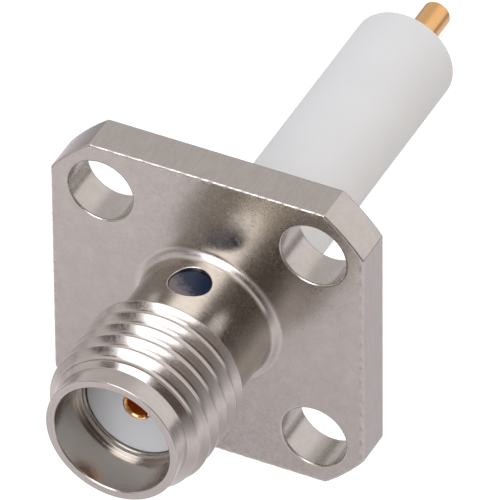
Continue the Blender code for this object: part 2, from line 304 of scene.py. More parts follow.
def profile(*corners):
    """An eased profile, shape (rows, 1, 2), from (radius, height, break) corners in millimetres."""
    table = np.array(corners, float)
    return eased(table[:, None, :2], table[:, 2])


def full_turn(count):
    """Azimuths once round the axis, the last on the first."""
    return np.linspace(0, 2 * math.pi, count + 1)


def grid_faces(rows, columns, first):
    """Quads between neighbouring rows and columns of a grid whose points start at index first."""
    i = np.arange(rows * columns).reshape(rows, columns) + first
    return np.stack([i[:-1, :-1], i[:-1, 1:], i[1:, 1:], i[1:, :-1]], -1).reshape(-1, 4)


def welded(mesh):
    """The mesh with its doubles merged, slivers dissolved and faces turned outwards.

    Faces of more than four corners, which a boolean leaves, are first cut into triangles.
    """
    shape = bmesh.new()
    shape.from_mesh(mesh)
    bmesh.ops.triangulate(shape, faces=[face for face in shape.faces if len(face.verts) > 4])
    bmesh.ops.remove_doubles(shape, verts=shape.verts, dist=WELD)
    bmesh.ops.dissolve_degenerate(shape, dist=WELD, edges=shape.edges)
    bmesh.ops.recalc_face_normals(shape, faces=shape.faces)
    shape.to_mesh(mesh)
    shape.free()
    return mesh


def surface_piece(name, grids, materials):
    """One closed piece from grids of points in millimetres, each with a material's index.

    The grids meet in the same points, so welding them closes the piece, and the faces are then
    turned outwards.
    """
    points, faces, slots, first = [], [], [], 0
    for grid, slot in grids:
        rows, columns = grid.shape[:2]
        points.append(grid.reshape(-1, 3) * MM)
        quads = grid_faces(rows, columns, first)
        faces.append(quads)
        slots.append(np.full(len(quads), slot))
        first += rows * columns
    points, faces = np.concatenate(points), np.concatenate(faces)
    mesh = bpy.data.meshes.new(name)
    mesh.vertices.add(len(points))
    mesh.vertices.foreach_set("co", points.astype(np.float32).ravel())
    mesh.loops.add(faces.size)
    mesh.loops.foreach_set("vertex_index", faces.astype(np.int32).ravel())
    mesh.polygons.add(len(faces))
    mesh.polygons.foreach_set("loop_start", np.arange(0, faces.size, 4, dtype=np.int32))
    mesh.polygons.foreach_set("material_index", np.concatenate(slots).astype(np.int32))
    mesh.update(calc_edges=True)
    welded(mesh)
    for material in materials:
        mesh.materials.append(material)
    mesh.shade_smooth()
    piece = bpy.data.objects.new(name, mesh)
    bpy.context.scene.collection.objects.link(piece)
    return piece


def carved(piece, tool, operation):
    """The piece cut by or joined with a tool piece, which is then removed."""
    boolean = piece.modifiers.new(tool.name, "BOOLEAN")
    boolean.operation = operation
    boolean.solver = "EXACT"
    boolean.object = tool
    view = bpy.context.evaluated_depsgraph_get()
    mesh = bpy.data.meshes.new_from_object(piece.evaluated_get(view))
    piece.modifiers.clear()
    piece.data = welded(mesh)
    mesh.name = piece.name
    bpy.data.objects.remove(tool, do_unlink=True)
    return piece


def in_place(piece, node):
    """The piece rides on the body and stands for the model's node, which is hidden."""
    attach(piece, "root")
    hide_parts(node)


# Body


def thread_corners(thread, body, azimuth):
    """Corners of the threaded part of the barrel, from the nose down to the neck, and their breaks.

    The blank's radius E(h) is the least of the rear flank, the crest and the 45 degree chamfer
    that climbs from the pilot. A groove's middle is at c = phase + pitch (n + a / 2 pi). At the
    distance s from c its flanks have the radius apex + s / tan 30, and they would meet at apex.
    A circle of radius q touches both, so where s < q cos 30 the bottom has the radius
    G = apex + 2 q - sqrt(q q - s s). The surface is min(E, G). Its rows are where a flank leaves
    the blank, nine across the bottom, and the middle of each land, moved onto a corner of the
    blank where the land holds one. Heights past the ends collapse onto them, and the nine keep
    clear of the crossings, so that the rounded edges there keep their width.
    """
    lean = math.tan(math.radians(30))
    crest, pitch = thread.outside / 2 / MM, thread.pitch / MM
    apex = crest - (pitch - thread.land / MM) / 2 / lean
    bottom = thread.root / MM
    root, half_floor = apex + bottom, bottom * lean
    tangent = bottom * math.cos(math.radians(30))
    neck = body.neck / 2 / MM
    reach = body.reach / MM
    end = thread.end / MM
    foot = end - (crest - neck) * lean
    pilot = thread.pilot / 2 / MM
    top = reach - thread.pilot_length / MM
    shoulder = top - (crest - pilot)
    # Radius gained for each millimetre of height on the 45 degree chamfer
    fall = -1

    def groove(s):
        round_part = apex + 2 * bottom - np.sqrt(np.maximum(bottom**2 - s**2, 0))
        return np.where(s < tangent, round_part, apex + s / lean)

    def blank(h):
        rear = neck + (h - foot) / lean
        nose = crest + fall * (h - shoulder)
        return np.minimum(np.minimum(rear, crest), nose)

    low = foot + (root - neck) * lean
    high = shoulder + (root - crest) / fall
    top -= SUPPORT
    # From a groove that would lie ahead of the chamfer to one behind the rear flank
    turns = range(3, -8, -1)
    crest_break = thread.crest_break / MM
    rows, breaks = [], []
    previous = np.full_like(azimuth, top)
    for n in turns:
        c = thread.phase / MM + pitch * (n + azimuth / (2 * math.pi))
        upper, lower = c + half_floor, c - half_floor
        upper_crest = upper + (crest - root) * lean
        upper_nose = (crest - root + upper / lean - fall * shoulder) / (1 / lean - fall)
        on_blank, past_nose = np.minimum(upper_crest, upper_nose), np.maximum(high, lower)
        leave = np.where(upper <= high, on_blank, past_nose)
        lower_crest = lower - (crest - root) * lean
        lower_nose = (root - crest + lower / lean + fall * shoulder) / (1 / lean + fall)
        lower_rear = (root - neck + lower / lean + foot / lean) / (2 / lean)
        enter = np.maximum(np.maximum(lower_crest, lower_nose), lower_rear)
        enter = np.where(lower > high, lower, np.where(lower < low, np.minimum(low, upper), enter))
        leave = np.clip(leave, low, top)
        enter = np.clip(np.minimum(enter, leave), low, top)
        land = 0.5 * (previous + leave)
        for corner in (shoulder, end):
            inside = (corner < previous - 0.01) & (corner > leave + 0.01)
            land = np.where(inside, corner, land)
        rows.append(np.stack([blank(land), land], -1))
        gap = np.minimum(0.03, 0.2 * (leave - enter))
        shares = np.linspace(1, -1, 9)
        across = [np.clip(c + share * tangent, enter + gap, leave - gap) for share in shares]
        for h in (leave, *across, enter):
            rows.append(np.stack([np.minimum(blank(h), groove(np.abs(h - c))), h], -1))
        breaks += [crest_break, crest_break, *[0] * len(across), crest_break]
        previous = enter
    return np.stack(rows), breaks


def barrel_grid(body, thread):
    """The turned surface from the bore above the epoxy hole, round the lip, down to the neck."""
    azimuth = full_turn(COLUMNS)
    reach, seat = body.reach / MM, (body.reach - body.depth) / MM
    bore, mouth, neck = body.bore / 2 / MM, body.mouth / 2 / MM, body.neck / 2 / MM
    ledge, ledge_height = bore + body.ledge / MM, seat - body.ledge_depth / MM
    chamfer = body.mouth_chamfer / MM
    hole_top = body.epoxy_height / MM + hole_span(body)
    pilot, pilot_foot = thread.pilot / 2 / MM, reach - thread.pilot_length / MM
    foot = thread.end / MM - (thread.outside / 2 / MM - neck) * math.tan(math.radians(30))
    before = [
        (bore, hole_top, 0),
        (bore, ledge_height, 0.008),
        (ledge, ledge_height, 0.006),
        (ledge, seat, 0.018),
        (mouth, seat, 0.02),
        (mouth, reach - chamfer, 0.012),
        (mouth + chamfer, reach, 0.012),
        (pilot, reach, 0.03),
        (pilot, pilot_foot + SUPPORT, 0),
        (pilot, pilot_foot, 0),
    ]
    after = [(neck, foot, 0.03), (neck, hole_top, 0)]
    threaded, thread_breaks = thread_corners(thread, body, azimuth)

    def level(table):
        points = np.array(table, float)[:, None, :2]
        return np.broadcast_to(points, (len(table), COLUMNS + 1, 2))

    corners = np.concatenate([level(before), threaded, level(after)])
    breaks = [c[2] for c in before] + thread_breaks + [c[2] for c in after]
    return turned(eased(corners, breaks), azimuth)


def hole_span(body):
    """Half the height, in millimetres, of the window that the epoxy hole is cut in."""
    return (body.epoxy_height - body.thickness - body.fillet) / MM


def hole_height(body):
    """Height of the epoxy hole's centre in millimetres, without a property's single precision.

    The cuts and joins of the core need it plain, because they meet in the same planes.
    """
    return round(body.epoxy_height / MM, 4)


def cross_drilled(body):
    """The neck, the bore and the wall of the epoxy hole, between the heights of the window.

    In a window of the cylinder of radius r the rim is at (p cos f, p sin f) about the hole's
    centre, for angle f and hole radius p. Each rim point runs in a straight line to a point of the
    window's edge, and every point is lifted to z = sqrt(r r - x x). The wall joins the two rims.
    """
    middle, span = body.epoxy_height / MM, hole_span(body)
    azimuth = full_turn(COLUMNS)
    heights = np.linspace(middle - span, middle + span, HOLE_ROWS + 1)
    first, last = QUARTER - HOLE_COLUMNS, QUARTER + HOLE_COLUMNS
    across = azimuth[first : last + 1]
    edge_azimuth = np.concatenate(
        [across[:-1], np.full(HOLE_ROWS, across[-1]), across[:0:-1], np.full(HOLE_ROWS, across[0])]
    )
    edge_height = np.concatenate(
        [
            np.full(len(across) - 1, heights[0]),
            heights[:-1],
            np.full(len(across) - 1, heights[-1]),
            heights[:0:-1],
        ]
    )
    edge_azimuth = np.append(edge_azimuth, edge_azimuth[0])
    edge_height = np.append(edge_height, edge_height[0])
    neck, bore, hole = body.neck / 2 / MM, body.bore / 2 / MM, body.epoxy_hole / 2 / MM
    collar = hole + 0.12
    angle = np.arctan2(edge_height - middle, neck * np.cos(edge_azimuth))

    def lifted(x, height, radius, sunk=0.0):
        return np.stack([x, -height, np.sqrt(radius**2 - x**2) - sunk], -1)

    def window(radius, rim):
        share = np.array([0, 0.12, 0.3, 0.55, 0.8, 1.0])[:, None]
        x = (1 - share) * rim * np.cos(angle) + share * radius * np.cos(edge_azimuth)
        height = (1 - share) * (middle + rim * np.sin(angle)) + share * edge_height
        points = lifted(x, height, radius)
        points[-1, :, 2] = radius * np.sin(edge_azimuth)
        return points

    rim = profile((collar, 0, 0), (hole, 0, 0.035), (hole, 0.25, 0))[:, 0]
    wall = [lifted(p * np.cos(angle), middle + p * np.sin(angle), neck, sunk) for p, sunk in rim]
    wall.append(lifted(hole * np.cos(angle), middle + hole * np.sin(angle), bore))
    rest = np.arange(last, COLUMNS + first + 1)
    around = 2 * math.pi * rest / COLUMNS
    rows = heights[:, None]
    return [
        window(neck, collar),
        window(bore, hole),
        np.stack(wall),
        turned(np.stack([neck + 0 * rows, rows], -1), around),
        turned(np.stack([bore + 0 * rows, rows], -1), around),
    ]


def outline(body, inset):
    """A quarter of the flange's outline, from +X to +Z, drawn inwards by inset.

    It runs up the straight side at half = side / 2 to the angle whose cosine is half / corner
    radius, round the turned corner about the axis, and along the next side.
    """
    half = body.side / 2 / MM - inset
    radius = body.corner / MM - inset
    meet = math.acos(half / radius)
    rise = np.linspace(0, half * math.tan(meet), SIDE_POINTS)
    arc = np.linspace(meet, math.pi / 2 - meet, ARC_POINTS + 2)[1:-1]
    x = np.concatenate([np.full(SIDE_POINTS, half), radius * np.cos(arc), rise[::-1]])
    z = np.concatenate([rise, radius * np.sin(arc), np.full(SIDE_POINTS, half)])
    corner_break = 0.035
    breaks = np.zeros(len(x))
    breaks[[SIDE_POINTS - 1, SIDE_POINTS + ARC_POINTS]] = corner_break
    return eased(np.stack([x, z], -1), breaks)


def quarter_turned(points, quarters):
    """Points turned about the axis by quarter turns: each takes (x, z) to (-z, x)."""
    for _ in range(quarters):
        points = np.stack([-points[..., 2], points[..., 1], points[..., 0]], -1)
    return points


def flange_grids(body):
    """The flange's faces, sides and screw holes, each quarter the same.

    A quarter of a face runs in straight lines from the screw hole's rim to the edge of that
    quarter: the flange's outline, the two lines along X and Z, and the circle round the axis. The
    angle about the hole's centre pairs the points. The sides carry the outline along a profile of
    inset and height, and each hole's wall is a turned profile.
    """
    thickness, edge = body.thickness / MM, body.edge / MM
    centre, hole = body.pitch / 2 / MM, body.screw / 2 / MM
    front_ring = body.neck / 2 / MM + body.fillet / MM + FRONT_RING
    rear_ring = body.bore / 2 / MM + REAR_RING
    margin = 0.2

    def loop(ring):
        rim = outline(body, margin)
        half = rim[0, 0]
        out = np.linspace(half, ring, 13)[1:]
        arc = np.linspace(math.pi / 2, 0, QUARTER + 1)[1:]
        back = out[::-1][1:]
        x = np.concatenate([rim[:, 0], 0 * out, ring * np.cos(arc), back, [half]])
        z = np.concatenate([rim[:, 1], out, ring * np.sin(arc), 0 * back, [0]])
        return np.stack([x, z], -1)

    front_loop, rear_loop = loop(front_ring), loop(rear_ring)
    angle = np.arctan2(front_loop[:, 1] - centre, front_loop[:, 0] - centre)
    circle = np.stack([np.cos(angle), np.sin(angle)], -1)

    def face(edge_loop, height):
        share = np.array([0, 0.25, 0.6, 1])[:, None, None]
        flat = (1 - share) * (centre + (hole + margin) * circle) + share * edge_loop
        return np.stack([flat[..., 0], np.full(flat.shape[:2], -height), flat[..., 1]], -1)

    wall = profile(
        (hole + margin, thickness, 0),
        (hole, thickness, edge),
        (hole, 0, edge),
        (hole + margin, 0, 0),
    )
    flat = centre + wall[..., :1] * circle
    height = np.broadcast_to(-wall[..., 1], flat.shape[:2])
    drilled = np.stack([flat[..., 0], height, flat[..., 1]], -1)

    side = profile((margin, thickness, 0), (0, thickness, edge), (0, 0, edge), (margin, 0, 0))[:, 0]
    milled = []
    for inset, h in side:
        rim = outline(body, inset)
        milled.append(np.stack([rim[:, 0], np.full(len(rim), -h), rim[:, 1]], -1))
    milled = np.stack(milled)
    # Rows 2 to 4 are the front broken edge. Its nicks are waves 0.17 to 0.44 mm long.
    along = milled[2, :, 0] - milled[2, :, 2]
    nick = np.sin(23.1 * along) * np.sin(14.3 * along + 1) + 0.6 * np.sin(37.7 * along + 2)
    milled[2:5, :, 1] += body.nicks / MM * nick
    # Columns of the upright side, the turned corner and the level side, each up to the next
    upright = slice(0, SIDE_POINTS + 2)
    corner = slice(SIDE_POINTS + 1, SIDE_POINTS + ARC_POINTS + 7)
    level = slice(SIDE_POINTS + ARC_POINTS + 6, None)

    grids = []
    for quarter in range(4):
        first, second = (2, 3) if quarter % 2 == 0 else (3, 2)
        for grid, slot in (
            (face(front_loop, thickness), 1),
            (face(rear_loop, 0), 1),
            (drilled, 0),
            (milled[:, upright], first),
            (milled[:, corner], 0),
            (milled[:, level], second),
        ):
            grids.append((quarter_turned(grid, quarter), slot))
    return grids


def body_grids(body, thread):
    """All grids of the body: bore, lip, thread, neck, epoxy hole, fillet and flange."""
    azimuth = full_turn(COLUMNS)
    neck, bore, fillet = body.neck / 2 / MM, body.bore / 2 / MM, body.fillet / MM
    thickness, edge = body.thickness / MM, body.edge / MM
    window_foot = body.epoxy_height / MM - hole_span(body)
    rear = profile((bore + REAR_RING, 0, 0), (bore, 0, edge), (bore, window_foot, 0))
    bend = np.linspace(math.pi, 1.5 * math.pi, FILLET_STEPS + 1)
    arc = np.stack(
        [neck + fillet + fillet * np.cos(bend), thickness + fillet + fillet * np.sin(bend)], -1
    )
    root = np.concatenate([arc, [[neck + fillet + FRONT_RING, thickness]]])[:, None]
    grids = [(turned(rear, azimuth), 0), (barrel_grid(body, thread), 4)]
    grids += [(grid, 0) for grid in cross_drilled(body)]
    grids.append((turned(root, azimuth), 0))
    return grids + flange_grids(body)


# Contact, insulator and epoxy


def tine_azimuths(core, radius):
    """Azimuths of the tines and of the slots between them, for a surface of the given radius.

    A slot of width s takes the angle 2 asin(s / 2 r) at radius r, so its walls stay parallel.
    Towards the pole, inside the socket's wall, the angle stays as it is at the radius least.
    """
    least = 0.38
    half = math.asin(min(0.9, core.slot / 2 / MM / max(radius, least)))
    tines, slots = [], []
    for k in range(2):
        middle = core.slot_angle + k * math.pi
        slots.append(np.linspace(middle - half, middle + half, 5))
        tines.append(np.linspace(middle + half, middle + math.pi - half, 45))
    return tines, slots


def contact_grids(core, middle):
    """The contact: two tines and the slots' floors in front, and turned surfaces behind them.

    Each profile is carried round its own azimuths. A tine's side walls join its outer and inner
    lines at equal heights. The groove lies about the height middle.
    """
    outer, face = core.contact / 2 / MM, core.contact_face / MM
    inner = outer - core.wall / MM
    cut = face - core.slot_length / MM
    floor = face - core.socket / MM
    drill_point = math.radians(59)
    tip = floor - inner / math.tan(drill_point)
    high, low = middle + core.groove / 2 / MM, middle - core.groove / 2 / MM
    waist, end, chamfer = outer - core.groove_depth / MM, -core.pin_end / MM, core.chamfer / MM

    def around(rows, part):
        grids = []
        for k in range(2):
            lines = []
            for radius, height in rows[:, 0]:
                azimuth = tine_azimuths(core, radius)[part][k]
                lines.append(turned(np.array([[[radius, height]]]), azimuth)[0])
            grids.append(np.stack(lines))
        return grids

    lead = core.lead_in / MM
    tine = profile(
        (outer, cut, 0),
        (outer, face - lead, 0.02),
        (outer, face, 0.02),
        (inner + lead, face, 0.01),
        (inner, face - lead, 0.02),
        (inner, cut, 0),
    )
    # The drilled finish, with its painted shade, begins at the foot of the lead-in
    rim = len(tine) - 4
    behind = profile(
        (outer, cut, 0),
        (outer, high, 0.02),
        (waist, high, 0.01),
        (waist, low, 0.01),
        (outer, low, 0.02),
        (outer, end + chamfer, 0.03),
        (outer - chamfer, end, 0.03),
        (0, end, 0),
    )
    socket = profile((inner, cut, 0), (inner, floor, 0.02), (0, tip, 0))
    shelf = profile((outer, cut, 0), (inner, cut, 0))
    tines = around(tine, 0)
    plated = [*around(behind, 0), *around(behind, 1), *around(shelf, 1)]
    drilled = [*around(socket, 0), *around(socket, 1)]
    half = len(tine) // 2
    for grid in tines:
        plated.append(grid[: rim + 1])
        drilled.append(grid[rim:])
        for column in (0, -1):
            line = grid[:, column]
            plated.append(np.stack([line[:half], line[::-1][:half]], 1))
    return [(grid, 0) for grid in plated] + [(grid, 1) for grid in drilled]


def insulator_grids(core):
    """The insulator: one closed profile, from its front face along the rod to the rear and back.

    Rows on both sides of the cross hole and at the flange's rear face keep the cut facets short.
    """
    outer, bore = core.insulator / 2 / MM, core.contact / 2 / MM + core.fit / MM
    face, rear = core.insulator_face / MM, -core.insulator_rear / MM
    section = profile(
        (bore, face - 0.4, 0),
        (bore, face, 0.02),
        (outer, face, 0.04),
        (outer, 4.4, 0),
        (outer, 1.7, 0),
        (outer, 0, 0),
        (outer, rear, 0.05),
        (bore, rear, 0.02),
        (bore, rear + 0.4, 0),
        (bore, face - 0.4, 0),
    )
    return [(turned(section, full_turn(160)), 0)]


def rod_grids(radius, low, high, middle):
    """A plain rod that points up from the axis at the given height, closed at both ends."""
    azimuth = full_turn(64)
    lines = []
    for r, z in ((0, high), (radius, high), (radius, low), (0, low)):
        x, y = r * np.cos(azimuth), -middle + r * np.sin(azimuth)
        lines.append(np.stack([x, y, np.full_like(x, z)], -1))
    return [(np.stack(lines), 0)]


def epoxy_grids(core, middle):
    """The epoxy column at the height middle: a dished skin, the wall, and a flat foot at the axis.

    At the distance p from the hole's axis the skin is at z = sag + p p / (2 q) below the neck: the
    resin shrank as it cured, and it still wets the wall all round.
    """
    wall = core.epoxy_width / 2 / MM
    lowest = (core.epoxy_skin - core.epoxy_sag) / MM
    azimuth = full_turn(96)
    share = np.sqrt(np.linspace(0, 1, 17))[:, None]
    p = wall * share
    x, y = p * np.cos(azimuth), p * np.sin(azimuth)
    z = lowest + p**2 / (2 * core.epoxy_dish / MM) + 0 * x
    top = np.stack([x, -middle + y, z], -1)
    x, y = wall * np.cos(azimuth), -middle + wall * np.sin(azimuth)
    column = np.stack([top[-1], np.stack([x, y, 0 * x], -1)])
    foot = np.stack([column[-1], np.stack([0 * x, -middle + 0 * x, 0 * x], -1)])
    return [(top, 0), (column, 0), (foot, 0)]


# Materials


def add_node(tree, kind, settings=None, links=None):
    """Add a node, set its attributes and sockets by name or index, and link outputs to it."""
    node = tree.nodes.new(kind)
    for key, value in (settings or {}).items():
        if isinstance(key, str) and hasattr(node, key):
            setattr(node, key, value)
        else:
            node.inputs[key].default_value = value
    for key, output in (links or {}).items():
        tree.links.new(output, node.inputs[key])
    return node


def new_material(name):
    """An empty node tree with its output, and the position on the piece in millimetres."""
    material = bpy.data.materials.new(name)
    material.use_nodes = True
    tree = material.node_tree
    tree.nodes.clear()
    place = add_node(tree, "ShaderNodeTexCoord")
    position = add_node(
        tree,
        "ShaderNodeVectorMath",
        {"operation": "SCALE", "Scale": 1 / MM},
        {0: place.outputs["Object"]},
    )
    return material, tree, position.outputs[0]


def finish_material(tree, shader):
    """The shader becomes the material's surface."""
    add_node(tree, "ShaderNodeOutputMaterial", None, {"Surface": shader.outputs[0]})


def turned_position(tree, position):
    """Radius and height in place of X, Y and Z, so that a pattern runs round as tool marks do."""
    parts = add_node(tree, "ShaderNodeSeparateXYZ", None, {0: position})
    flat = add_node(
        tree, "ShaderNodeCombineXYZ", None, {0: parts.outputs[0], 1: parts.outputs[2]}
    )
    radius = add_node(tree, "ShaderNodeVectorMath", {"operation": "LENGTH"}, {0: flat.outputs[0]})
    rings = add_node(
        tree, "ShaderNodeCombineXYZ", None, {0: radius.outputs["Value"], 1: parts.outputs[1]}
    )
    return rings.outputs[0]


def steel(name, finishes, gloss, marks, stretch, depth, streaks):
    """Passivated stainless steel: a warm grey, satin metal that mirrors broad lights softly.

    The marks of the tool are a noise of stretch marks a millimetre each way, and streaks is their
    share in the colour. Real ones are some 0.02 mm apart, which is too fine to show, so they are
    drawn about 0.1 mm wide. The tumbled and pickled skin adds clouds 0.6 mm wide, and a grit that
    is drawn 0.14 mm wide because the real one is too fine as well.
    """
    material, tree, position = new_material(name)
    where = turned_position(tree, position) if marks == "turned" else position
    scaled = add_node(
        tree, "ShaderNodeVectorMath", {"operation": "MULTIPLY", 1: stretch}, {0: where}
    )
    lines = add_node(
        tree,
        "ShaderNodeTexNoise",
        {"Scale": 1.0, "Detail": 3.0, "Roughness": 0.6},
        {"Vector": scaled.outputs[0]},
    )
    clouds = add_node(
        tree,
        "ShaderNodeTexNoise",
        {"Scale": 1.6, "Detail": 5.0, "Roughness": 0.7},
        {"Vector": position},
    )
    grit = add_node(
        tree,
        "ShaderNodeTexNoise",
        {"Scale": 7.0, "Detail": 1.0, "Roughness": 0.5},
        {"Vector": position},
    )
    dull, clean = (
        (*[share * v for share, v in zip(shares, finishes.steel)], 1)
        for shares in ((0.93, 0.91, 0.88), (1.06, 1.07, 1.10))
    )
    mottle = add_node(
        tree, "ShaderNodeMix", {0: streaks}, {2: clouds.outputs[0], 3: lines.outputs[0]}
    )
    level = add_node(tree, "ShaderNodeMapRange", {1: 0.3, 2: 0.7}, {0: mottle.outputs[0]})
    tint = add_node(tree, "ShaderNodeMixRGB", {1: dull, 2: clean}, {0: level.outputs[0]})
    rough = add_node(
        tree,
        "ShaderNodeMapRange",
        {1: 0.3, 2: 0.7, 3: gloss - 0.03, 4: gloss + 0.04},
        {0: grit.outputs[0]},
    )
    relief = add_node(
        tree,
        "ShaderNodeMath",
        {"operation": "MULTIPLY_ADD", 1: 0.15},
        {0: grit.outputs[0], 2: lines.outputs[0]},
    )
    bump = add_node(
        tree,
        "ShaderNodeBump",
        {"Strength": 1.0, "Distance": depth},
        {"Height": relief.outputs[0]},
    )
    shader = add_node(
        tree,
        "ShaderNodeBsdfPrincipled",
        {"Metallic": 1.0},
        {"Base Color": tint.outputs[0], "Roughness": rough.outputs[0], "Normal": bump.outputs[0]},
    )
    finish_material(tree, shader)
    return material


def ptfe(finishes):
    """PTFE, turned from rod: waxy white and dull, because a little light goes in and spreads.

    The turning lines are too fine to show and are drawn 0.1 mm wide. The clouds are 2 mm wide.
    """
    material, tree, position = new_material("turned_ptfe")
    rings = turned_position(tree, position)
    lines = add_node(
        tree, "ShaderNodeTexNoise", {"Scale": 9.0, "Detail": 2.0}, {"Vector": rings}
    )
    clouds = add_node(
        tree, "ShaderNodeTexNoise", {"Scale": 0.5, "Detail": 3.0}, {"Vector": position}
    )
    dark, light = ((*[min(1, share * v) for v in finishes.ptfe], 1) for share in (0.97, 1.03))
    tint = add_node(tree, "ShaderNodeMixRGB", {1: dark, 2: light}, {0: clouds.outputs[0]})
    bump = add_node(
        tree,
        "ShaderNodeBump",
        {"Strength": 1.0, "Distance": 0.0000004},
        {"Height": lines.outputs[0]},
    )
    shader = add_node(
        tree,
        "ShaderNodeBsdfPrincipled",
        {
            "Roughness": 0.65,
            "IOR": 1.35,
            "Specular IOR Level": 0.25,
            "Subsurface Weight": 0.15,
            "Subsurface Radius": (0.0006, 0.0006, 0.0006),
            "Subsurface Scale": 1.0,
        },
        {"Base Color": tint.outputs[0], "Normal": bump.outputs[0]},
    )
    finish_material(tree, shader)
    return material


def gold(name, tint, gloss):
    """Gold plating over turned copper alloy: warm and half glossy, with the turning lines under it.

    The lines are too fine to show and are drawn 0.07 mm wide, and the plating's grain 0.12 mm.
    """
    material, tree, position = new_material(name)
    rings = turned_position(tree, position)
    lines = add_node(
        tree, "ShaderNodeTexNoise", {"Scale": 14.0, "Detail": 2.0}, {"Vector": rings}
    )
    grit = add_node(
        tree, "ShaderNodeTexNoise", {"Scale": 8.0, "Detail": 3.0}, {"Vector": position}
    )
    rough = add_node(
        tree,
        "ShaderNodeMapRange",
        {1: 0.3, 2: 0.7, 3: gloss - 0.04, 4: gloss + 0.05},
        {0: grit.outputs[0]},
    )
    bump = add_node(
        tree,
        "ShaderNodeBump",
        {"Strength": 1.0, "Distance": 0.0000006},
        {"Height": lines.outputs[0]},
    )
    shader = add_node(
        tree,
        "ShaderNodeBsdfPrincipled",
        {"Metallic": 1.0, "Base Color": (*tint, 1)},
        {"Roughness": rough.outputs[0], "Normal": bump.outputs[0]},
    )
    finish_material(tree, shader)
    return material


def epoxy(finishes):
    """Cured epoxy: a smooth resin, navy towards the rear right and grey brown towards the front
    left.

    The change runs along X and Y, in millimetres, and the resin's grain makes it uneven.
    """
    material, tree, position = new_material("cured_epoxy")
    parts = add_node(tree, "ShaderNodeSeparateXYZ", None, {0: position})
    grain = add_node(
        tree,
        "ShaderNodeTexNoise",
        {"Scale": 3.5, "Detail": 5.0, "Roughness": 0.7},
        {"Vector": position},
    )
    slant = add_node(
        tree,
        "ShaderNodeMath",
        {"operation": "MULTIPLY_ADD", 1: 0.8},
        {0: parts.outputs[0], 2: parts.outputs[1]},
    )
    thin = add_node(
        tree,
        "ShaderNodeMath",
        {"operation": "MULTIPLY_ADD", 1: 1.2},
        {0: grain.outputs[0], 2: slant.outputs[0]},
    )
    share = add_node(
        tree,
        "ShaderNodeMapRange",
        {"interpolation_type": "SMOOTHSTEP", 1: -3.1, 2: -2.4},
        {0: thin.outputs[0]},
    )
    # Grey brown towards the front left, navy towards the rear right
    tint = add_node(
        tree,
        "ShaderNodeMixRGB",
        {1: (*finishes.epoxy_thin, 1), 2: (*finishes.epoxy, 1)},
        {0: share.outputs[0]},
    )
    bump = add_node(
        tree,
        "ShaderNodeBump",
        {"Strength": 1.0, "Distance": 0.000003},
        {"Height": grain.outputs[0]},
    )
    shader = add_node(
        tree,
        "ShaderNodeBsdfPrincipled",
        {"Roughness": finishes.epoxy_gloss, "IOR": 1.5, "Specular IOR Level": 0.22},
        {"Base Color": tint.outputs[0], "Normal": bump.outputs[0]},
    )
    finish_material(tree, shader)
    return material


# Operators


class RECEPTACLE_OT_body(bpy.types.Operator):
    """Add the steel body: flange, neck with its epoxy hole, thread, lip and stepped bore"""

    bl_idname = "receptacle.body"
    bl_label = "Body"

    def execute(self, context):
        scene = context.scene
        finishes = scene.receptacle_finishes
        gloss, thread_gloss = finishes.steel_gloss, finishes.thread_gloss
        materials = [
            steel("turned_steel", finishes, gloss, "turned", (9, 9, 9), 0.0000005, 0.2),
            steel("tumbled_steel", finishes, gloss, "plain", (6, 6, 6), 0.0000004, 0.2),
            steel("milled_steel_upright", finishes, gloss, "plain", (9, 9, 0.9), 0.000002, 0.6),
            steel("milled_steel_level", finishes, gloss, "plain", (9, 1.2, 9), 0.000002, 0.6),
            steel("threaded_steel", finishes, thread_gloss, "turned", (14, 14, 14), 0.0000005, 0.5),
        ]
        piece = surface_piece(
            "steel_body", body_grids(scene.receptacle_body, scene.receptacle_thread), materials
        )
        in_place(piece, "body")
        return {"FINISHED"}


class RECEPTACLE_OT_insulator(bpy.types.Operator):
    """Add the PTFE insulator, bored for the contact and cross drilled for the epoxy"""

    bl_idname = "receptacle.insulator"
    bl_label = "Insulator"

    def execute(self, context):
        scene = context.scene
        body = scene.receptacle_body
        material = ptfe(scene.receptacle_finishes)
        piece = surface_piece("ptfe_insulator", insulator_grids(scene.receptacle_core), [material])
        hole, middle = body.epoxy_hole / 2 / MM, hole_height(body)
        past_skin = 3
        drill = surface_piece("cross_drill", rod_grids(hole, 0, past_skin, middle), [])
        carved(piece, drill, "DIFFERENCE")
        in_place(piece, "insulator")
        return {"FINISHED"}


class RECEPTACLE_OT_contact(bpy.types.Operator):
    """Add the gold plated contact: two-tine socket in front, captive groove and solder pin"""

    bl_idname = "receptacle.contact"
    bl_label = "Contact"

    def execute(self, context):
        scene = context.scene
        finishes = scene.receptacle_finishes
        materials = [
            gold("gold_plating", finishes.gold, finishes.gold_gloss),
            # The second gold carries the socket's painted shade
            gold("gold_bore_painted_shade", finishes.bore, finishes.bore_gloss),
        ]
        middle = hole_height(scene.receptacle_body)
        grids = contact_grids(scene.receptacle_core, middle)
        piece = surface_piece("gold_contact", grids, materials)
        in_place(piece, "center_contact")
        return {"FINISHED"}


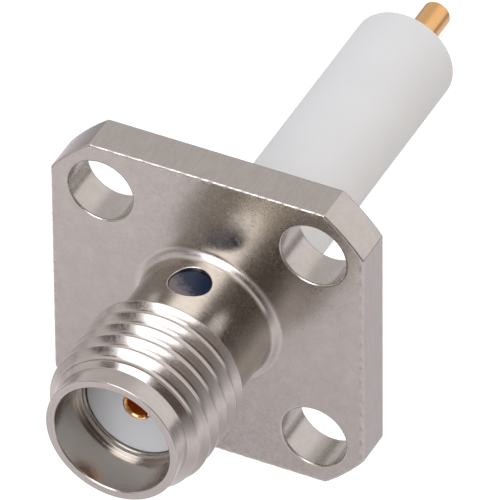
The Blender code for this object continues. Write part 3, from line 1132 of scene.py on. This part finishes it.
class RECEPTACLE_OT_epoxy(bpy.types.Operator):
    """Add the epoxy that fills the cross holes and holds the contact and the insulator"""

    bl_idname = "receptacle.epoxy"
    bl_label = "Epoxy"

    def execute(self, context):
        scene = context.scene
        core = scene.receptacle_core
        middle = hole_height(scene.receptacle_body)
        material = epoxy(scene.receptacle_finishes)
        piece = surface_piece("epoxy_fill", epoxy_grids(core, middle), [material])
        contact, fit = core.contact / 2 / MM, core.fit / MM
        waist = contact - core.groove_depth / MM + fit
        high = middle + core.groove / 2 / MM - fit
        low = middle - core.groove / 2 / MM + fit
        # Heights past the plug on both sides
        ahead, behind = 4.5, 1.5
        azimuth = full_turn(96)
        ring = profile((0, high, 0), (contact, high, 0), (contact, low, 0), (0, low, 0))
        passage = profile(
            (0, ahead, 0),
            (contact + fit, ahead, 0),
            (contact + fit, high, 0),
            (waist, high, 0),
            (waist, low, 0),
            (contact + fit, low, 0),
            (contact + fit, behind, 0),
            (0, behind, 0),
        )
        carved(piece, surface_piece("epoxy_ring", [(turned(ring, azimuth), 0)], []), "UNION")
        carved(piece, surface_piece("passage", [(turned(passage, azimuth), 0)], []), "DIFFERENCE")
        in_place(piece, "epoxy_plug")
        return {"FINISHED"}


def patched(tree, direction, start, patches):
    """A level that starts plain and changes towards each patch's own level.

    A patch's share is a smooth step of the cosine of the angle from its middle.
    """
    plain = add_node(tree, "ShaderNodeValue")
    plain.outputs[0].default_value = start
    level = plain.outputs[0]
    for azimuth, elevation, inner, outer, patch in patches:
        a, e = math.radians(azimuth), math.radians(elevation)
        towards = (math.sin(a) * math.cos(e), -math.cos(a) * math.cos(e), math.sin(e))
        facing = add_node(
            tree, "ShaderNodeVectorMath", {"operation": "DOT_PRODUCT", 1: towards}, {0: direction}
        )
        share = add_node(
            tree,
            "ShaderNodeMapRange",
            {
                "interpolation_type": "SMOOTHSTEP",
                1: math.cos(math.radians(outer)),
                2: math.cos(math.radians(inner)),
            },
            {0: facing.outputs["Value"]},
        )
        mixed = add_node(tree, "ShaderNodeMix", {3: patch}, {0: share.outputs[0], 2: level})
        level = mixed.outputs[0]
    return level


def add_mirrored(tree, path):
    """1 for the rays that leave a shiny or a clear surface, and 0 for the others."""
    return add_node(
        tree,
        "ShaderNodeMath",
        {"operation": "MAXIMUM"},
        {0: path.outputs["Is Glossy Ray"], 1: path.outputs["Is Transmission Ray"]},
    ).outputs[0]


def add_world(studio):
    """White to the camera, fill light, and in reflections a white tent with its openings."""
    world = bpy.data.worlds.new("tent")
    world.use_nodes = True
    tree = world.node_tree
    tree.nodes.clear()
    direction = add_node(tree, "ShaderNodeTexCoord").outputs["Generated"]
    tent = patched(tree, direction, studio.tent, TENT_PATCHES)
    fill = patched(tree, direction, studio.fill, FILL_PATCHES)
    path = add_node(tree, "ShaderNodeLightPath")
    mirrored = add_mirrored(tree, path)
    level = add_node(tree, "ShaderNodeMix", None, {0: mirrored, 2: fill, 3: tent})
    seen = add_node(
        tree, "ShaderNodeMix", {3: 1.0}, {0: path.outputs["Is Camera Ray"], 2: level.outputs[0]}
    )
    bright = add_node(tree, "ShaderNodeMapRange", {1: 0.1, 2: 0.8}, {0: tent})
    tinted = add_node(
        tree,
        "ShaderNodeMixRGB",
        {1: linear(ROOM_CAST), 2: linear(TENT_CLOTH)},
        {0: bright.outputs[0]},
    )
    cast = add_node(
        tree, "ShaderNodeMixRGB", {1: linear(FILL_CAST)}, {0: mirrored, 2: tinted.outputs[0]}
    )
    light = add_node(
        tree, "ShaderNodeBackground", None, {"Color": cast.outputs[0], "Strength": seen.outputs[0]}
    )
    add_node(tree, "ShaderNodeOutputWorld", None, {"Surface": light.outputs[0]})
    bpy.context.scene.world = world


def add_softbox(name, radiance, hex_code, towards, distance, width, height):
    """A rectangular lamp that faces the part. Its power is radiance times pi times area."""
    lamp = bpy.data.lights.new(name, "AREA")
    lamp.shape = "RECTANGLE"
    lamp.size, lamp.size_y = width, height
    lamp.energy = radiance * math.pi * width * height
    lamp.color = linear(hex_code)[:3]
    box = bpy.data.objects.new(name, lamp)
    aim = Vector(towards).normalized()
    box.location = aim * distance
    box.rotation_mode = "QUATERNION"
    box.rotation_quaternion = aim.to_track_quat("Z", "Y")
    bpy.context.scene.collection.objects.link(box)
    return box


def add_floor(studio):
    """A white paper floor: it shows white, keeps the object's shadow and is seen in the metal.

    To the camera it glows a little on top of the light it takes, so that it is as white as the
    ground in the photograph. The metal sees a glowing sheet instead, with painted light and shade:
    its level follows the distance from the part, with painted shades and one painted lighter spot.
    The paper's grain is 2.5 mm wide.
    """
    half = PAPER_HALF
    mesh = bpy.data.meshes.new("floor")
    corners = [(-half, -half), (half, -half), (half, half), (-half, half)]
    mesh.from_pydata([(x, y, -studio.floor) for x, y in corners], [], [(0, 1, 2, 3)])
    floor = bpy.data.objects.new("floor", mesh)
    bpy.context.scene.collection.objects.link(floor)
    material = bpy.data.materials.new("white_paper")
    material.use_nodes = True
    tree = material.node_tree
    tree.nodes.clear()
    path = add_node(tree, "ShaderNodeLightPath")
    place = add_node(tree, "ShaderNodeTexCoord").outputs["Object"]
    grain = add_node(tree, "ShaderNodeTexNoise", {"Scale": 400.0})
    paper = add_node(
        tree,
        "ShaderNodeMixRGB",
        {1: linear(PAPER[0]), 2: linear(PAPER[1])},
        {0: grain.outputs[0]},
    )
    matt = add_node(tree, "ShaderNodeBsdfDiffuse", None, {"Color": paper.outputs[0]})
    lift = add_node(
        tree,
        "ShaderNodeMath",
        {"operation": "MULTIPLY", 1: 0.55},
        {0: path.outputs["Is Camera Ray"]},
    )
    glow = add_node(tree, "ShaderNodeEmission", None, {"Strength": lift.outputs[0]})
    lit = add_node(tree, "ShaderNodeAddShader", None, {0: matt.outputs[0], 1: glow.outputs[0]})
    away = add_node(tree, "ShaderNodeVectorMath", {"operation": "LENGTH"}, {0: place})
    # Painted light and shade for the metal: the paper glows at a level set by distance, times the
    # painted shades and the painted lighter spot
    nearest, farthest = FLOOR_LEVELS[0][0], FLOOR_LEVELS[-1][0]
    along = add_node(
        tree,
        "ShaderNodeMapRange",
        {1: nearest * MM, 2: farthest * MM},
        {0: away.outputs["Value"]},
    )
    levels = add_node(tree, "ShaderNodeFloatCurve", None, {1: along.outputs[0]})
    curve = levels.mapping.curves[0]
    for distance, level in FLOOR_LEVELS[1:-1]:
        curve.points.new((distance - nearest) / (farthest - nearest), level)
    curve.points[0].location = (0, FLOOR_LEVELS[0][1])
    curve.points[-1].location = (1, FLOOR_LEVELS[-1][1])
    levels.mapping.update()
    level = levels.outputs[0]
    for x, y, radius, shade in FLOOR_SHADES:
        off = add_node(
            tree,
            "ShaderNodeVectorMath",
            {"operation": "DISTANCE", 1: (x * MM, y * MM, -studio.floor)},
            {0: place},
        )
        shaded = add_node(
            tree,
            "ShaderNodeMapRange",
            {"interpolation_type": "SMOOTHSTEP", 2: radius * MM, 3: shade, 4: 1.0},
            {0: off.outputs["Value"]},
        )
        product = add_node(
            tree, "ShaderNodeMath", {"operation": "MULTIPLY"}, {0: level, 1: shaded.outputs[0]}
        )
        level = product.outputs[0]
    shown = add_node(
        tree,
        "ShaderNodeEmission",
        {"Color": linear(FLOOR_CAST)},
        {"Strength": level},
    )
    both = add_node(
        tree,
        "ShaderNodeMixShader",
        None,
        {0: add_mirrored(tree, path), 1: lit.outputs[0], 2: shown.outputs[0]},
    )
    add_node(tree, "ShaderNodeOutputMaterial", None, {"Surface": both.outputs[0]})
    mesh.materials.append(material)


def add_camera():
    """A long lens 473 mm away, 26.5 degrees to the right of the axis and 39.8 degrees above it."""
    data = bpy.data.cameras.new("camera")
    data.sensor_width = 36.0
    data.lens = 927.6
    data.clip_start, data.clip_end = 0.01, 20.0
    camera = bpy.data.objects.new("camera", data)
    camera.location = (0.1624558, -0.3255043, 0.3029195)
    camera.rotation_euler = (0.8793852, 0.0071688, 0.4546696)
    bpy.context.scene.collection.objects.link(camera)
    bpy.context.scene.camera = camera


class RECEPTACLE_OT_studio(bpy.types.Operator):
    """Add the camera, the white tent with its softbox, and the floor"""

    bl_idname = "receptacle.studio"
    bl_label = "Studio"

    def execute(self, context):
        studio = context.scene.receptacle_studio
        add_camera()
        add_world(studio)
        shine = add_softbox("softbox_shine", studio.box_shine, SHINE_CAST, SHINE_TOWARDS, *SOFTBOX)
        shine.visible_diffuse = False
        light = add_softbox("softbox_light", studio.box_light, LIGHT_CAST, LIGHT_TOWARDS, *SOFTBOX)
        light.visible_glossy = False
        add_floor(studio)
        context.scene.view_settings.view_transform = "Standard"
        return {"FINISHED"}


class RECEPTACLE_PT_panel(bpy.types.Panel):
    """Sizes, finishes and the operators, in the order in which they run"""

    bl_label = "SMA receptacle"
    bl_idname = "RECEPTACLE_PT_panel"
    bl_space_type = "VIEW_3D"
    bl_region_type = "UI"
    bl_category = "Receptacle"

    def draw(self, context):
        layout = self.layout
        for group, _ in GROUPS:
            settings = getattr(context.scene, group)
            column = layout.column(align=True)
            for name in settings.__annotations__:
                column.prop(settings, name)
        for operator in OPERATORS:
            layout.operator(operator.bl_idname)


GROUPS = (
    ("receptacle_body", BodySizes),
    ("receptacle_thread", ThreadSizes),
    ("receptacle_core", CoreSizes),
    ("receptacle_finishes", Finishes),
    ("receptacle_studio", StudioSettings),
)
OPERATORS = (
    RECEPTACLE_OT_body,
    RECEPTACLE_OT_insulator,
    RECEPTACLE_OT_contact,
    RECEPTACLE_OT_epoxy,
    RECEPTACLE_OT_studio,
)


def register():
    for name, group in GROUPS:
        bpy.utils.register_class(group)
        setattr(bpy.types.Scene, name, PointerProperty(type=group))
    for item in (*OPERATORS, RECEPTACLE_PT_panel):
        bpy.utils.register_class(item)


def unregister():
    for item in (RECEPTACLE_PT_panel, *reversed(OPERATORS)):
        bpy.utils.unregister_class(item)
    for name, group in reversed(GROUPS):
        delattr(bpy.types.Scene, name)
        bpy.utils.unregister_class(group)


def main():
    register()
    bpy.ops.receptacle.body()
    bpy.ops.receptacle.insulator()
    bpy.ops.receptacle.contact()
    bpy.ops.receptacle.epoxy()
    bpy.ops.receptacle.studio()


if __name__ == "__main__":
    main()
